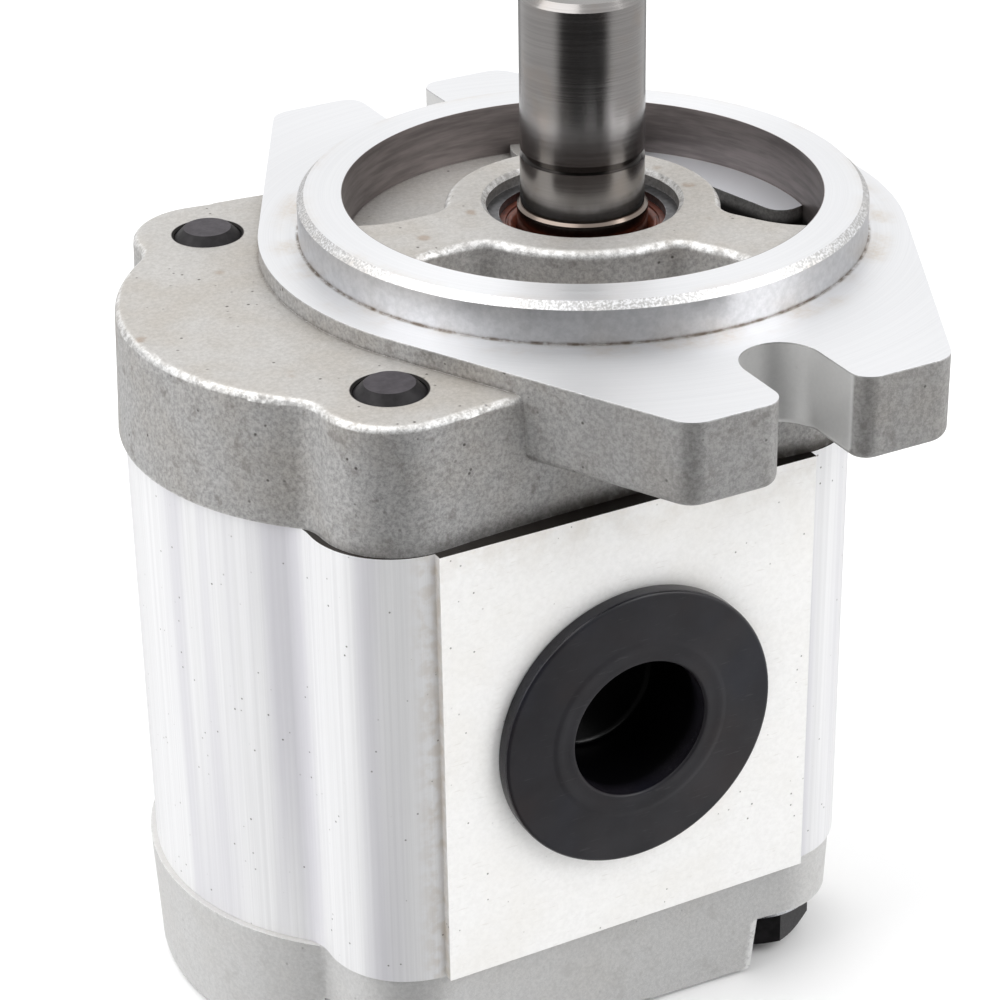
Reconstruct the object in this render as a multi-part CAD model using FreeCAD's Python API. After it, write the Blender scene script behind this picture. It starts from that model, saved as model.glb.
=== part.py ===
import FreeCAD, Part
import math
import os
from FreeCAD import Vector

# Hydraulic gear pump.  The frame: +Z runs out of the drive shaft, z = 0 is the mounting face of
# the flange, and the origin is on the drive shaft axis.  The driven gear lies on the -X side,
# the suction port opens on -Y and the pressure port on +Y.  All sizes are in millimetres.

# Mounting flange with two slotted lugs and a round pilot
PILOT_RADIUS = 41.275
PILOT_HEIGHT = 6.0
PILOT_CHAMFER = 1.0
FLANGE_DISC_RADIUS = 47.1
FLANGE_THICKNESS = 12.5
FLANGE_BOTTOM_ROUND = 1.6
LUG_END_Y = 63.5
LUG_HALF_WIDTH = 20.2
LUG_CORNER_RADIUS = 4.0
SLOT_Y = 53.2
SLOT_RADIUS = 5.75
SLOT_MOUTH_RADIUS = 3.0

# Cast recess inside the pilot: a hub on three webs, with kidney pockets between them
RECESS_RADIUS = 34.75
HUB_RADIUS = 20.0
HUB_TOP = 4.1
POCKET_FLOOR = -2.0
WEB_WIDTH = 13.0
WEB_ANGLES = (180, 60, -60)
FLARE_START = 26.0
FLARE_RADIUS = 14.0
SPIDER_REACH = 38.0
HUB_CORNER = 4.5
CAST_ROUND = 1.4
BOSS_RADIUS = 7.0
BOSS_TOP = -0.6
WELL_FLOOR = -14.0
LEDGE_X = 29.6
LEDGE_Y = -7.2
LEDGE_TURN = 13.0
LEDGE_CORNER = 3.0

# Gear set
CENTRE_DISTANCE = 34.0
TOOTH_COUNT = 12
PRESSURE_ANGLE = math.radians(27)
TIP_RADIUS = 19.9
ROOT_RADIUS = 13.6
TOOTH_THINNING = 0.24
FLANK_STEPS = 4
GEAR_WIDTH = 28.5
GEAR_BORE_RADIUS = 20.0
END_PLAY = 0.05

# Lengths of the stack
BLOCK_TOP = -2.7
BODY_TOP = -21.5
BODY_LENGTH = 68.6
REAR_THICKNESS = 19.4

# Outline of the casings: end arcs about the gear axes and a lobe round each bolt
MIDDLE_X = -CENTRE_DISTANCE / 2
BOLT_HALF_X = 29.3
BOLT_Y = 30.1
COVER_END_RADIUS = 36.3
COVER_LOBE_RADIUS = 10.6
COVER_LOBE_Y = 31.0
COVER_WAIST_Y = 40.2
COVER_DRAFT = 0.8
COVER_EDGE_ROUND = 1.2
BODY_END_RADIUS = 36.2
BODY_LOBE_RADIUS = 12.4
NECK_RADIUS = 6.0
PAD_HALF_WIDTH = 29.5
PAD_Y = 43.9

# Through bolts and dowels
BOLT_RADIUS = 5.0
BOLT_HOLE_RADIUS = 5.25
BOLT_LENGTH = 100.0
BOLT_PROUD = 1.0
HOLE_END_GAP = 0.5
BOLT_END_CHAMFER = 1.5
COUNTERSINK = 0.3
BOLT_HEAD_FLATS = 16.0
BOLT_HEAD_HEIGHT = 6.4
WASHER_RADIUS = 10.0
WASHER_THICKNESS = 2.0
SPOTFACE_RADIUS = 12.8
DOWEL_RADIUS = 3.0
DOWEL_DEPTH = 8.0
DOWEL_Y = 33.0

# Shafts
SHAFT_RADIUS = 9.0
SHAFT_END = 36.0
SHAFT_END_CHAMFER = 1.0
JOURNAL_RADIUS = 9.5
JOURNAL_TOP = 3.4
JOURNAL_CHAMFER = 0.4
SHAFT_GROOVE_BOTTOM = 11.1
SHAFT_GROOVE_TOP = 12.3
SHAFT_GROOVE_DEPTH = 0.5
JOURNAL_END_GAP = 0.7
CENTRE_DRILL_RADIUS = 2.0
CENTRE_DRILL_DEPTH = 4.0
KEY_WIDTH = 6.0
KEY_LENGTH = 20.0
KEY_BOTTOM = 14.0
KEY_SEAT_DEPTH = 3.5
RUNNING_CLEARANCE = 0.05

# Shaft seal: 28 mm bore, 7 mm wide
SEAL_BORE_RADIUS = 14.0
SEAL_BORE_CHAMFER = 0.7
SEAL_TOP = 0.6
SEAL_WIDTH = 7.0
SEAL_WALL = 1.0
SEAL_LIP_OUTER = 11.6
SEAL_SPRING_RADIUS = 0.6
SEAL_SPRING_RING = 10.7
SHAFT_HOLE_RADIUS = 10.2
CLIP_THICKNESS = 1.2
CLIP_INNER_RADIUS = 12.1
CLIP_GROOVE_RADIUS = 14.7
CLIP_GAP_ANGLE = 36.0
CLIP_GAP_DIRECTION = 62.0
CLIP_EAR_RADIUS = 1.7
CLIP_EAR_HOLE = 0.7

# Bearing blocks, bushes and seals
BUSH_RADIUS = 11.0
BUSH_LENGTH = 19.0
BLOCK_FIT = 0.05
WAIST_HALF_HEIGHT = 6.0
LAND_SEAL_PATH_RADIUS = 15.5
LAND_SEAL_WIDTH = 2.2
LAND_SEAL_HEIGHT = 1.4
BACKUP_HEIGHT = 0.6
FACE_SEAL_PATH_RADIUS = 24.2
FACE_SEAL_SECTION_RADIUS = 1.2
FACE_GROOVE_HALF_WIDTH = 1.5
RELIEF_SLOT_WIDTH = 5.0
RELIEF_SLOT_LENGTH = 6.0
RELIEF_SLOT_DEPTH = 1.2
RELIEF_SLOT_Y = 6.4

# Ports and transport plugs: thread bore, bore depth, passage, plug flange, plug hole
INLET = {"side": -1, "bore": 15.2, "depth": 16.0, "passage": 9.5, "flange": 21.35, "hole": 10.5}
OUTLET = {"side": 1, "bore": 12.1, "depth": 14.0, "passage": 7.0, "flange": 17.0, "hole": 8.0}
PLUG_CLEARANCE = 0.1
PLUG_FLANGE_THICKNESS = 2.4
PLUG_SHORTER = 2.0
PLUG_END_WALL = 1.5
PLUG_RIB_WIDTH = 0.8
PLUG_RIB_HEIGHT = 0.3
PLUG_RIB_GAP = 2.4
PLUG_EDGE_ROUND = 0.5

# Derived levels
BODY_BOTTOM = BODY_TOP - BODY_LENGTH
REAR_BOTTOM = BODY_BOTTOM - REAR_THICKNESS
GEAR_MIDDLE = (BODY_TOP + BODY_BOTTOM) / 2
GEAR_TOP = GEAR_MIDDLE + GEAR_WIDTH / 2
GEAR_BOTTOM = GEAR_MIDDLE - GEAR_WIDTH / 2
SEAL_BOTTOM = SEAL_TOP - SEAL_WIDTH
CLIP_BOTTOM = SEAL_TOP + END_PLAY
BOLT_END = BLOCK_TOP + BOLT_PROUD
BOLT_SEAT = BOLT_END - BOLT_LENGTH
SPOTFACE_LEVEL = BOLT_SEAT + WASHER_THICKNESS

# Modelling allowances: overrun of cutting tools, and how near counts as touching or as flat
CUT = 1.0
TOUCH = 0.01
FLAT = 1e-4

UP = Vector(0, 0, 1)
BOLT_PLACES = [(MIDDLE_X + sx * BOLT_HALF_X, sy * BOLT_Y) for sx in (-1, 1) for sy in (-1, 1)]
DOWEL_PLACES = [(MIDDLE_X, -DOWEL_Y), (MIDDLE_X, DOWEL_Y)]
GEAR_AXES = [(0.0, 0.0), (-CENTRE_DISTANCE, 0.0)]


def cylinder(radius, bottom, top, x=0.0, y=0.0):
    """Upright cylinder between two levels."""
    return Part.makeCylinder(radius, top - bottom, Vector(x, y, bottom), UP)


def tube(outer, inner, bottom, top, x=0.0, y=0.0):
    """Upright tube between two levels."""
    return cylinder(outer, bottom, top, x, y).cut(cylinder(inner, bottom - CUT, top + CUT, x, y))


def box(x_range, y_range, z_range):
    """Box from its three ranges."""
    size = [high - low for low, high in (x_range, y_range, z_range)]
    return Part.makeBox(size[0], size[1], size[2], Vector(x_range[0], y_range[0], z_range[0]))


def fuse_all(shapes):
    """One shape from many, without the seams between coplanar faces."""
    whole = shapes[0]
    for shape in shapes[1:]:
        whole = whole.fuse(shape)
    return whole.removeSplitter()


def cut_all(shape, tools):
    """The shape with every tool taken away."""
    return shape.cut(Part.makeCompound(tools))


def solid_of(wires_or_wire, bottom, top):
    """Upright solid on a wire drawn at any level."""
    face = Part.Face(wires_or_wire)
    face.translate(Vector(0, 0, bottom - face.BoundBox.ZMin))
    return face.extrude(Vector(0, 0, top - bottom))


def upright_edges(shape, test):
    """Straight vertical edges whose place passes the test."""
    found = []
    for edge in shape.Edges:
        first = edge.Vertexes[0].Point
        last = edge.Vertexes[-1].Point
        vertical = math.hypot(first.x - last.x, first.y - last.y) < FLAT and abs(first.z - last.z) > 0.1
        if vertical and test(first.x, first.y):
            found.append(edge)
    return found


def level_edges(shape, level, test):
    """Edges that lie wholly at one level and whose centre passes the test."""
    found = []
    for edge in shape.Edges:
        room = edge.BoundBox
        if abs(room.ZMin - level) < FLAT and abs(room.ZMax - level) < FLAT and test(edge):
            found.append(edge)
    return found


def towards(start, end, distance):
    """Point at a distance from start on the way to end."""
    return start + (end - start).normalize() * distance


def circle_meeting(first, first_radius, second, second_radius):
    """Where two circles meet, on the outer (+X) side."""
    gap = (second - first).Length
    along = (first_radius ** 2 - second_radius ** 2 + gap ** 2) / (2 * gap)
    across = math.sqrt(first_radius ** 2 - along ** 2)
    direction = (second - first).normalize()
    side = Vector(direction.y, -direction.x, 0)
    return first + direction * along + side * across


def arc_about(centre, radius, start, end):
    """Shorter arc about a centre, from the direction of start to that of end."""
    start_point = towards(centre, start, radius)
    end_point = towards(centre, end, radius)
    middle = towards(centre, (start_point + end_point) * 0.5, radius)
    return Part.Arc(start_point, middle, end_point).toShape()


def mirrored(edges, x_axis):
    """Edges with their copies across the plane x = x_axis."""
    return edges + [edge.mirror(Vector(x_axis, 0, 0), Vector(1, 0, 0)) for edge in edges]


def casing_outline(end_radius, lobe_radius, lobe_y, grow, level):
    """Outline shared by covers and body: end arcs, bolt lobes, hollow necks and a shallow waist.

    The centres stay where they are when the outline grows, so two levels make a draft.
    """
    end_centre = Vector(0, 0, level)
    lobe_centre = Vector(MIDDLE_X + BOLT_HALF_X, lobe_y, level)
    neck_centre = circle_meeting(end_centre, end_radius + NECK_RADIUS,
                                 lobe_centre, lobe_radius + NECK_RADIUS)
    rise = COVER_WAIST_Y - lobe_y
    waist_radius = (BOLT_HALF_X ** 2 + rise ** 2 - lobe_radius ** 2) / (2 * (lobe_radius - rise))
    waist_centre = Vector(MIDDLE_X, COVER_WAIST_Y + waist_radius, level)
    end_r = end_radius + grow
    lobe_r = lobe_radius + grow
    neck_r = NECK_RADIUS - grow
    waist_r = waist_radius - grow
    tip = Vector(end_r, 0, level)
    waist = waist_centre - Vector(0, waist_r, 0)
    quarter = [arc_about(end_centre, end_r, tip, neck_centre),
               arc_about(neck_centre, neck_r, end_centre, lobe_centre),
               arc_about(lobe_centre, lobe_r, neck_centre, waist_centre),
               arc_about(waist_centre, waist_r, lobe_centre, waist)]
    half = quarter + [edge.mirror(Vector(0, 0, 0), Vector(0, 1, 0)) for edge in quarter]
    return Part.Wire(Part.__sortEdges__(mirrored(half, MIDDLE_X)))


def cover_block(wide_level, narrow_level):
    """Cast block with draft."""
    wires = [casing_outline(COVER_END_RADIUS, COVER_LOBE_RADIUS, COVER_LOBE_Y, grow, level)
             for grow, level in ((COVER_DRAFT, wide_level), (0.0, narrow_level))]
    return Part.makeLoft(wires, True, True)


def flange_plate():
    """Flange: a disc with tangent sides running out to two square lugs."""
    corner = Vector(LUG_HALF_WIDTH, LUG_END_Y, 0)
    corner_angle = math.atan2(corner.y, corner.x)
    touch_angle = corner_angle - math.acos(FLANGE_DISC_RADIUS / corner.Length)
    touch = Vector(math.cos(touch_angle), math.sin(touch_angle), 0) * FLANGE_DISC_RADIUS
    tip = Vector(FLANGE_DISC_RADIUS, 0, 0)
    quarter = [arc_about(Vector(0, 0, 0), FLANGE_DISC_RADIUS, tip, touch),
               Part.makeLine(touch, corner),
               Part.makeLine(corner, Vector(0, LUG_END_Y, 0))]
    half = quarter + [edge.mirror(Vector(0, 0, 0), Vector(0, 1, 0)) for edge in quarter]
    outline = Part.Wire(Part.__sortEdges__(mirrored(half, 0)))
    plate = solid_of(outline, -FLANGE_THICKNESS, 0)
    corners = upright_edges(plate, lambda x, y: abs(abs(y) - LUG_END_Y) < TOUCH and abs(x) > 1)
    plate = plate.makeFillet(LUG_CORNER_RADIUS, corners)
    for side in (-1, 1):
        plate = plate.cut(slot_tool(side))
    mouths = upright_edges(plate, lambda x, y: abs(abs(y) - LUG_END_Y) < TOUCH
                           and abs(abs(x) - SLOT_RADIUS) < TOUCH)
    plate = plate.makeFillet(SLOT_MOUTH_RADIUS, mouths)
    under = level_edges(plate, -FLANGE_THICKNESS, lambda edge: True)
    return plate.makeFillet(FLANGE_BOTTOM_ROUND, under)


def slot_tool(side):
    """Open slot of one lug."""
    y_range = sorted((side * SLOT_Y, side * (LUG_END_Y + CUT)))
    z_range = (-FLANGE_THICKNESS - CUT, CUT)
    straight = box((-SLOT_RADIUS, SLOT_RADIUS), y_range, z_range)
    return straight.fuse(cylinder(SLOT_RADIUS, z_range[0], z_range[1], 0, side * SLOT_Y)).removeSplitter()


def web_prism(bottom):
    """Web along +X whose sides flare where it will meet the pilot ring."""
    half = WEB_WIDTH / 2
    flare_centre = Vector(FLARE_START, half + FLARE_RADIUS, 0)
    drop = math.sqrt(FLARE_RADIUS ** 2 - (SPIDER_REACH - FLARE_START) ** 2)
    flare_end = Vector(SPIDER_REACH, flare_centre.y - drop, 0)
    upper = [Part.makeLine(Vector(0, half, 0), Vector(FLARE_START, half, 0)),
             arc_about(flare_centre, FLARE_RADIUS, Vector(FLARE_START, half, 0), flare_end),
             Part.makeLine(flare_end, Vector(SPIDER_REACH, 0, 0)),
             Part.makeLine(Vector(0, half, 0), Vector(0, 0, 0))]
    edges = upper + [edge.mirror(Vector(0, 0, 0), Vector(0, 1, 0)) for edge in upper]
    return solid_of(Part.Wire(Part.__sortEdges__(edges)), bottom, HUB_TOP)


def spider(bottom):
    """Hub on three webs with rounded upper edges, trimmed to the pilot bore."""
    pieces = [cylinder(HUB_RADIUS, bottom, HUB_TOP)]
    for angle in WEB_ANGLES:
        web = web_prism(bottom)
        web.rotate(Vector(0, 0, 0), UP, angle)
        pieces.append(web)
    shape = fuse_all(pieces)
    corners = upright_edges(shape, lambda x, y: math.hypot(x, y) < HUB_RADIUS + 0.1)
    shape = shape.makeFillet(HUB_CORNER, corners)

    def inside_reach(edge):
        middle = edge.valueAt((edge.FirstParameter + edge.LastParameter) / 2)
        return math.hypot(middle.x, middle.y) < SPIDER_REACH - 0.1

    shape = shape.makeFillet(CAST_ROUND, level_edges(shape, HUB_TOP, inside_reach))
    return shape.common(cylinder(RECESS_RADIUS, bottom, HUB_TOP + CUT))


def well_tool():
    """Deep part of the pocket on the +X side, beside its ledge."""
    sector = cylinder(RECESS_RADIUS, WELL_FLOOR, POCKET_FLOOR + CUT)
    reach = 2 * RECESS_RADIUS
    rise = reach * math.tan(math.radians(WEB_ANGLES[1]))
    points = [Vector(0, 0, 0), Vector(reach, -rise, 0), Vector(reach, rise, 0), Vector(0, 0, 0)]
    sector = sector.common(solid_of(Part.makePolygon(points), WELL_FLOOR - CUT, POCKET_FLOOR + 2 * CUT))
    ledge = box((LEDGE_X, reach), (LEDGE_Y, reach), (WELL_FLOOR - CUT, POCKET_FLOOR + 2 * CUT))
    corner = upright_edges(ledge, lambda x, y: abs(x - LEDGE_X) < TOUCH and abs(y - LEDGE_Y) < TOUCH)
    ledge = ledge.makeFillet(LEDGE_CORNER, corner)
    ledge.rotate(Vector(LEDGE_X, LEDGE_Y, 0), UP, LEDGE_TURN)
    return sector.cut(ledge)


def bolt_holes(radius, bottom, top):
    """Holes for the four through bolts."""
    return [cylinder(radius, bottom, top, x, y) for x, y in BOLT_PLACES]


def dowel_holes(bottom, top):
    """Holes for the two dowels at one joint face."""
    return [cylinder(DOWEL_RADIUS, bottom, top, x, y) for x, y in DOWEL_PLACES]


def rounded_shoulder(cover):
    """The cover with the upper rim of its block rounded over."""
    outline = casing_outline(COVER_END_RADIUS, COVER_LOBE_RADIUS, COVER_LOBE_Y, 0.0, BLOCK_TOP)

    def on_outline(edge):
        middle = edge.valueAt((edge.FirstParameter + edge.LastParameter) / 2)
        return outline.distToShape(Part.Vertex(middle))[0] < TOUCH

    return cover.makeFillet(COVER_EDGE_ROUND, level_edges(cover, BLOCK_TOP, on_outline))


def front_cover():
    """Front cover: flange, pilot with its cast recess, seal housing and threaded block."""
    cover = rounded_shoulder(fuse_all([flange_plate(), cover_block(BODY_TOP, BLOCK_TOP)]))
    pilot = cylinder(PILOT_RADIUS, -CUT, PILOT_HEIGHT)
    pilot = pilot.makeChamfer(PILOT_CHAMFER, level_edges(pilot, PILOT_HEIGHT, lambda edge: True))
    cover = fuse_all([cover, pilot])
    cover = cover.cut(cylinder(RECESS_RADIUS, POCKET_FLOOR, PILOT_HEIGHT + CUT))
    cover = cover.cut(well_tool())
    inside = cylinder(RECESS_RADIUS, POCKET_FLOOR - CUT, BOSS_TOP)
    bosses = [cylinder(BOSS_RADIUS, POCKET_FLOOR - CUT, BOSS_TOP, x, y).common(inside)
              for x, y in BOLT_PLACES[2:]]
    cover = fuse_all([cover, spider(WELL_FLOOR - CUT)] + bosses)
    bore = cylinder(SEAL_BORE_RADIUS, SEAL_BOTTOM, HUB_TOP + CUT)
    lead_in = Part.makeCone(SEAL_BORE_RADIUS, SEAL_BORE_RADIUS + SEAL_BORE_CHAMFER + CUT,
                            SEAL_BORE_CHAMFER + CUT, Vector(0, 0, HUB_TOP - SEAL_BORE_CHAMFER), UP)
    groove = cylinder(CLIP_GROOVE_RADIUS, CLIP_BOTTOM, CLIP_BOTTOM + CLIP_THICKNESS)
    shaft_hole = cylinder(SHAFT_HOLE_RADIUS, BODY_TOP - CUT, SEAL_BOTTOM + CUT)
    cover = cut_all(cover, [bore, lead_in, groove, shaft_hole])
    cover = cut_all(cover, bolt_holes(BOLT_RADIUS, BODY_TOP - CUT, BOLT_END + HOLE_END_GAP))
    cover = cut_all(cover, [Part.makeCone(BOLT_RADIUS, BOLT_RADIUS + COUNTERSINK, COUNTERSINK,
                                          Vector(x, y, BLOCK_TOP - COUNTERSINK), UP)
                            for x, y in BOLT_PLACES[:2]])
    return cut_all(cover, dowel_holes(BODY_TOP - CUT, BODY_TOP + DOWEL_DEPTH))


def gear_bores(radius, bottom, top):
    """Two meeting cylinders on the gear axes."""
    return fuse_all([cylinder(radius, bottom, top, x, y) for x, y in GEAR_AXES])


def port_tools(port):
    """Thread bore and passage of one port."""
    start = Vector(MIDDLE_X, port["side"] * (PAD_Y + CUT), GEAR_MIDDLE)
    inward = Vector(0, -port["side"], 0)
    thread_bore = Part.makeCylinder(port["bore"], port["depth"] + CUT, start, inward)
    passage = Part.makeCylinder(port["passage"], PAD_Y - GEAR_BORE_RADIUS / 2 + CUT, start, inward)
    return [thread_bore, passage]


def pump_body():
    """Extruded body with a raised pad for each port."""
    outline = casing_outline(BODY_END_RADIUS, BODY_LOBE_RADIUS, BOLT_Y, 0.0, BODY_BOTTOM)
    body = solid_of(outline, BODY_BOTTOM, BODY_TOP)
    pads = box((MIDDLE_X - PAD_HALF_WIDTH, MIDDLE_X + PAD_HALF_WIDTH), (-PAD_Y, PAD_Y),
               (BODY_BOTTOM, BODY_TOP))
    body = fuse_all([body, pads])
    through = (BODY_BOTTOM - CUT, BODY_TOP + CUT)
    tools = [gear_bores(GEAR_BORE_RADIUS, through[0], through[1])]
    tools += port_tools(INLET) + port_tools(OUTLET) + bolt_holes(BOLT_HOLE_RADIUS, through[0], through[1])
    tools += dowel_holes(BODY_TOP - DOWEL_DEPTH, BODY_TOP + CUT)
    tools += dowel_holes(BODY_BOTTOM - CUT, BODY_BOTTOM + DOWEL_DEPTH)
    tools += [face_groove(BODY_TOP, -1), face_groove(BODY_BOTTOM, 1)]
    return cut_all(body, tools)


def rear_cover():
    """Rear cover with a raised middle to rest on and spot faces for the bolt heads."""
    cover = cover_block(BODY_BOTTOM, REAR_BOTTOM)
    cover = cover.makeFillet(COVER_EDGE_ROUND, level_edges(cover, REAR_BOTTOM, lambda edge: True))
    tools = bolt_holes(BOLT_HOLE_RADIUS, REAR_BOTTOM - CUT, BODY_BOTTOM + CUT)
    tools += dowel_holes(BODY_BOTTOM - DOWEL_DEPTH, BODY_BOTTOM + CUT)
    tools += [cylinder(SPOTFACE_RADIUS, REAR_BOTTOM - CUT, SPOTFACE_LEVEL, x, y) for x, y in BOLT_PLACES]
    return cut_all(cover, tools)


def stadium_ring(path_radius, section_radius, level):
    """Round-section ring on a stadium path about both gear axes."""
    pieces = []
    for (x, y), start_angle in zip(GEAR_AXES, (-90, 90)):
        half = Part.makeTorus(path_radius, section_radius, Vector(0, 0, 0), UP, 0, 360, 180)
        half.rotate(Vector(0, 0, 0), UP, start_angle)
        half.translate(Vector(x, y, level))
        pieces.append(half)
    for side in (-1, 1):
        start = Vector(-CENTRE_DISTANCE, side * path_radius, level)
        pieces.append(Part.makeCylinder(section_radius, CENTRE_DISTANCE, start, Vector(1, 0, 0)))
    return fuse_all(pieces)


def stadium(radius, bottom, top):
    """Solid stadium about both gear axes."""
    ends = [cylinder(radius, bottom, top, x, y) for x, y in GEAR_AXES]
    return fuse_all(ends + [box((-CENTRE_DISTANCE, 0), (-radius, radius), (bottom, top))])


def face_groove(face_level, inward):
    """Groove for a face seal, cut from a joint face."""
    depth = 2 * FACE_SEAL_SECTION_RADIUS
    bottom, top = sorted((face_level - inward * CUT, face_level + inward * depth))
    outer = stadium(FACE_SEAL_PATH_RADIUS + FACE_GROOVE_HALF_WIDTH, bottom, top)
    return outer.cut(stadium(FACE_SEAL_PATH_RADIUS - FACE_GROOVE_HALF_WIDTH, bottom - CUT, top + CUT))


def face_seal(face_level, inward):
    """Ring seal that lies in the groove of a joint face."""
    return stadium_ring(FACE_SEAL_PATH_RADIUS, FACE_SEAL_SECTION_RADIUS,
                        face_level + inward * FACE_SEAL_SECTION_RADIUS)


def peanut(offset, bottom, top):
    """Solid with two round ends about the gear axes and a hollow waist between them."""
    half_gap = CENTRE_DISTANCE / 2
    path = LAND_SEAL_PATH_RADIUS
    waist = (half_gap ** 2 + WAIST_HALF_HEIGHT ** 2 - path ** 2) / (2 * (path - WAIST_HALF_HEIGHT))
    waist_centre = Vector(MIDDLE_X, WAIST_HALF_HEIGHT + waist, 0)
    end_centre = Vector(0, 0, 0)
    end_radius = path + offset
    waist_radius = waist - offset
    waist_low = waist_centre - Vector(0, waist_radius, 0)
    quarter = [arc_through_side(end_centre, end_radius, waist_centre),
               arc_about(waist_centre, waist_radius, end_centre, waist_low)]
    half = quarter + [edge.mirror(Vector(0, 0, 0), Vector(0, 1, 0)) for edge in quarter]
    outline = Part.Wire(Part.__sortEdges__(mirrored(half, MIDDLE_X)))
    return solid_of(outline, bottom, top)


def arc_through_side(centre, radius, target):
    """Arc from the +X side of a circle over its top to the direction of a target."""
    start = centre + Vector(radius, 0, 0)
    over = centre + Vector(0, radius, 0)
    return Part.Arc(start, over, towards(centre, target, radius)).toShape()


def land_ring(bottom, top):
    """Ring of the seal track on the back of a bearing block."""
    outer = peanut(LAND_SEAL_WIDTH / 2, bottom, top)
    return outer.cut(peanut(-LAND_SEAL_WIDTH / 2, bottom - CUT, top + CUT))


def bearing_block(face_level, inward):
    """Floating block that carries both journals; its seal track faces the cover."""
    gear_side = face_level + inward * (BODY_LENGTH - GEAR_WIDTH - 2 * END_PLAY) / 2
    bottom, top = sorted((face_level, gear_side))
    block = gear_bores(GEAR_BORE_RADIUS - BLOCK_FIT, bottom, top)
    track_end = face_level + inward * (LAND_SEAL_HEIGHT + BACKUP_HEIGHT)
    track = sorted((face_level - inward * CUT, track_end))
    tools = [cylinder(BUSH_RADIUS, bottom - CUT, top + CUT, x, y) for x, y in GEAR_AXES]
    tools.append(land_ring(track[0], track[1]))
    slot_levels = sorted((gear_side + inward * CUT, gear_side - inward * RELIEF_SLOT_DEPTH))
    for side in (-1, 1):
        y_range = sorted((side * RELIEF_SLOT_Y, side * (RELIEF_SLOT_Y + RELIEF_SLOT_LENGTH)))
        x_range = (MIDDLE_X - RELIEF_SLOT_WIDTH / 2, MIDDLE_X + RELIEF_SLOT_WIDTH / 2)
        tools.append(box(x_range, y_range, slot_levels))
    return cut_all(block, tools)


def bush(axis, face_level, inward):
    """Plain bearing bush of one journal, just short of both faces of its block."""
    block_length = (BODY_LENGTH - GEAR_WIDTH) / 2
    middle = face_level + inward * block_length / 2
    return tube(BUSH_RADIUS, JOURNAL_RADIUS + RUNNING_CLEARANCE,
                middle - BUSH_LENGTH / 2, middle + BUSH_LENGTH / 2, axis[0], axis[1])


def pressure_seal(face_level, inward):
    """Moulded seal in the track of a bearing block."""
    levels = sorted((face_level, face_level + inward * LAND_SEAL_HEIGHT))
    return land_ring(levels[0], levels[1])


def backup_ring(face_level, inward):
    """Hard ring under the moulded seal."""
    levels = sorted((face_level + inward * LAND_SEAL_HEIGHT,
                     face_level + inward * (LAND_SEAL_HEIGHT + BACKUP_HEIGHT)))
    return land_ring(levels[0], levels[1])


def gear_wheel(axis_x, phase):
    """Toothed wheel with involute flanks and full round roots."""
    pitch_radius = CENTRE_DISTANCE / 2
    base_radius = pitch_radius * math.cos(PRESSURE_ANGLE)
    involute_at_pitch = math.tan(PRESSURE_ANGLE) - PRESSURE_ANGLE
    half_tooth = math.pi / (2 * TOOTH_COUNT) + involute_at_pitch - TOOTH_THINNING / (2 * pitch_radius)
    tip_roll = math.sqrt((TIP_RADIUS / base_radius) ** 2 - 1)

    def flank_point(step, mirror, turn):
        roll = tip_roll * step / FLANK_STEPS
        radius = base_radius * math.sqrt(1 + roll ** 2)
        angle = turn + mirror * (half_tooth - (roll - math.atan(roll)))
        return Vector(radius * math.cos(angle), radius * math.sin(angle), 0)

    def flank(mirror, turn):
        curve = Part.BSplineCurve()
        curve.interpolate([flank_point(step, mirror, turn) for step in range(FLANK_STEPS + 1)])
        return curve.toShape()

    def polar(radius, angle):
        return Vector(radius * math.cos(angle), radius * math.sin(angle), 0)

    pitch_angle = 2 * math.pi / TOOTH_COUNT
    edges = []
    for tooth in range(TOOTH_COUNT):
        turn = phase + tooth * pitch_angle
        tip = [flank_point(FLANK_STEPS, mirror, turn) for mirror in (-1, 1)]
        edges += [flank(-1, turn), flank(1, turn)]
        edges.append(Part.Arc(tip[0], polar(TIP_RADIUS, turn), tip[1]).toShape())
        root = polar(ROOT_RADIUS, turn + pitch_angle / 2)
        root_end = flank_point(0, -1, turn + pitch_angle)
        edges.append(Part.Arc(flank_point(0, 1, turn), root, root_end).toShape())
    wheel = solid_of(Part.Wire(Part.__sortEdges__(edges)), GEAR_BOTTOM, GEAR_TOP)
    wheel.translate(Vector(axis_x, 0, 0))
    return wheel


def drive_gear_shaft():
    """Driving gear in one piece with its journals, seal land and keyed end."""
    journal = cylinder(JOURNAL_RADIUS, BODY_BOTTOM + JOURNAL_END_GAP, JOURNAL_TOP + JOURNAL_CHAMFER)
    journal = journal.makeChamfer(JOURNAL_CHAMFER,
                                  level_edges(journal, JOURNAL_TOP + JOURNAL_CHAMFER, lambda edge: True))
    stub = cylinder(SHAFT_RADIUS, JOURNAL_TOP, SHAFT_END)
    stub = stub.makeChamfer(SHAFT_END_CHAMFER, level_edges(stub, SHAFT_END, lambda edge: True))
    shaft = fuse_all([gear_wheel(0.0, 0.0), journal, stub])
    groove = tube(SHAFT_RADIUS + CUT, SHAFT_RADIUS - SHAFT_GROOVE_DEPTH,
                  SHAFT_GROOVE_BOTTOM, SHAFT_GROOVE_TOP)
    drill_tip = Vector(0, 0, SHAFT_END - CENTRE_DRILL_DEPTH)
    drill = Part.makeCone(0, CENTRE_DRILL_RADIUS, CENTRE_DRILL_DEPTH, drill_tip, UP)
    return cut_all(shaft, [groove, drill, shaft_key()])


def driven_gear_shaft():
    """Driven gear in one piece with its two journals, half a tooth out of step."""
    x = GEAR_AXES[1][0]
    journal = cylinder(JOURNAL_RADIUS, BODY_BOTTOM + JOURNAL_END_GAP, BODY_TOP - JOURNAL_END_GAP, x)
    return fuse_all([gear_wheel(x, math.pi / TOOTH_COUNT), journal])


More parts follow.
